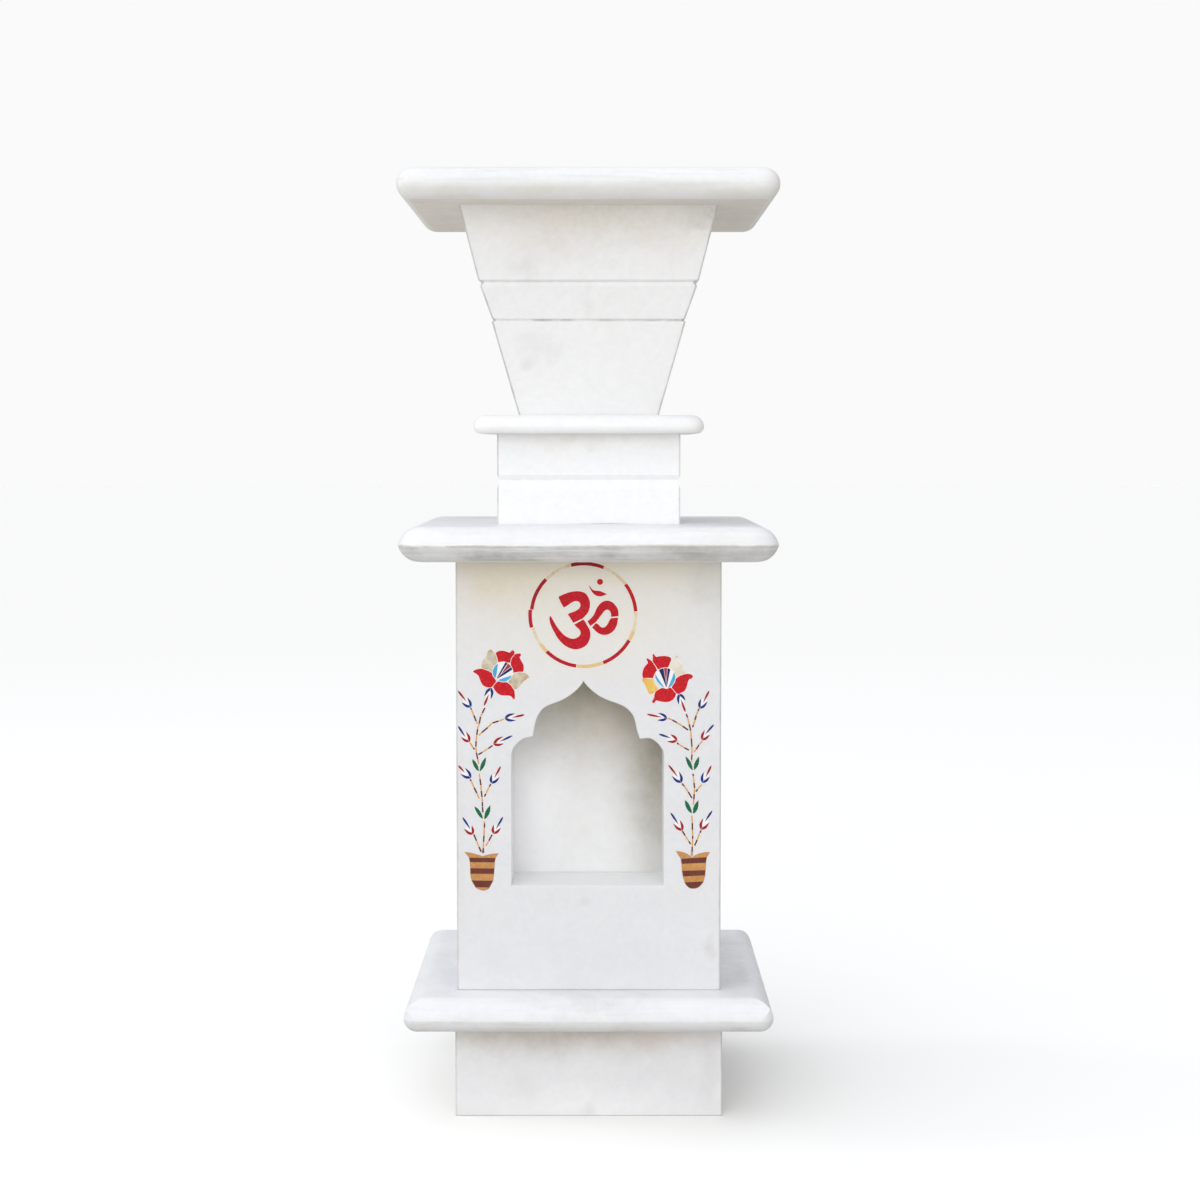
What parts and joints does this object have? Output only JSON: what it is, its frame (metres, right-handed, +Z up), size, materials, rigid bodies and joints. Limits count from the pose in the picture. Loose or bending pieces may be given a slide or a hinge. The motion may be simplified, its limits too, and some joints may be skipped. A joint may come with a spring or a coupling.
{
  "type": "tulsi vrindavan planter",
  "caption": "Square white marble tulsi planter: tapered pot on a column with an arched niche and stone-inlaid front, on a low plinth.",
  "frame": {"origin": "centre of the plinth's footprint, on the ground", "axes": "+Z up, front with the niche faces -Y, +X to the viewer's right when facing the front"},
  "size_m": [0.3026, 0.3026, 0.762],
  "materials": {
    "white_marble": "honed",
    "pin_steel": "brushed",
    "red_jasper": "polished",
    "shell_stone": "polished",
    "turquoise": "polished",
    "lapis": "polished",
    "white_chalcedony": "polished",
    "gold_stone": "polished",
    "malachite": "polished",
    "ochre_stone": "polished",
    "dark_brown_stone": "polished",
    "brown_stone": "polished"
  },
  "bodies": {
    "base": {"base_slab": "white_marble", "column_dowels": "pin_steel", "plinth_back_panel": "white_marble", "plinth_front_panel": "white_marble", "plinth_left_panel": "white_marble", "plinth_right_panel": "white_marble"},
    "column": {"buds_left_blue_stones": "lapis", "buds_left_red_stones": "red_jasper", "buds_left_white_stones": "white_chalcedony", "buds_right_blue_stones": "lapis", "buds_right_red_stones": "red_jasper", "buds_right_white_stones": "white_chalcedony", "column_back_panel": "white_marble", "column_front_panel": "white_marble", "column_left_panel": "white_marble", "column_right_panel": "white_marble", "flower_left_blue_stones": "lapis", "flower_left_red_stones": "red_jasper", "flower_left_shell_petals": "shell_stone", "flower_left_turquoise_stones": "turquoise", "flower_left_white_stones": "white_chalcedony", "flower_right_blue_stones": "lapis", "flower_right_gold_petal": "gold_stone", "flower_right_red_stones": "red_jasper", "flower_right_shell_petal": "shell_stone", "flower_right_turquoise_stones": "turquoise", "flower_right_white_stones": "white_chalcedony", "leaves_left": "malachite", "leaves_right": "malachite", "ledge_slab": "white_marble", "neck_dowels": "pin_steel", "niche_back_panel": "white_marble", "niche_ceiling": "white_marble", "niche_floor": "white_marble", "niche_left_cheek": "white_marble", "niche_right_cheek": "white_marble", "om_sign": "red_jasper", "ring_red_stones": "red_jasper", "ring_shell_stones": "shell_stone", "stems_left_dark_stones": "dark_brown_stone", "stems_left_light_stones": "ochre_stone", "stems_right_dark_stones": "dark_brown_stone", "stems_right_light_stones": "ochre_stone", "vase_left_brown_bands": "brown_stone", "vase_left_ochre_bands": "ochre_stone", "vase_right_brown_bands": "brown_stone", "vase_right_ochre_bands": "ochre_stone"},
    "pot": {"neck_back_panel": "white_marble", "neck_cap_slab": "white_marble", "neck_front_panel": "white_marble", "neck_left_panel": "white_marble", "neck_right_panel": "white_marble", "pot_back_panel": "white_marble", "pot_floor": "white_marble", "pot_front_panel": "white_marble", "pot_left_panel": "white_marble", "pot_right_panel": "white_marble", "rim_frame": "white_marble"}
  },
  "joints": [
    {"name": "column_lift", "type": "slide", "parent": "base", "child": "column", "axis": [0, 0, 1], "range_m": [0, 0.06]},
    {"name": "pot_lift", "type": "slide", "parent": "column", "child": "pot", "axis": [0, 0, 1], "range_m": [0, 0.06]}
  ]
}
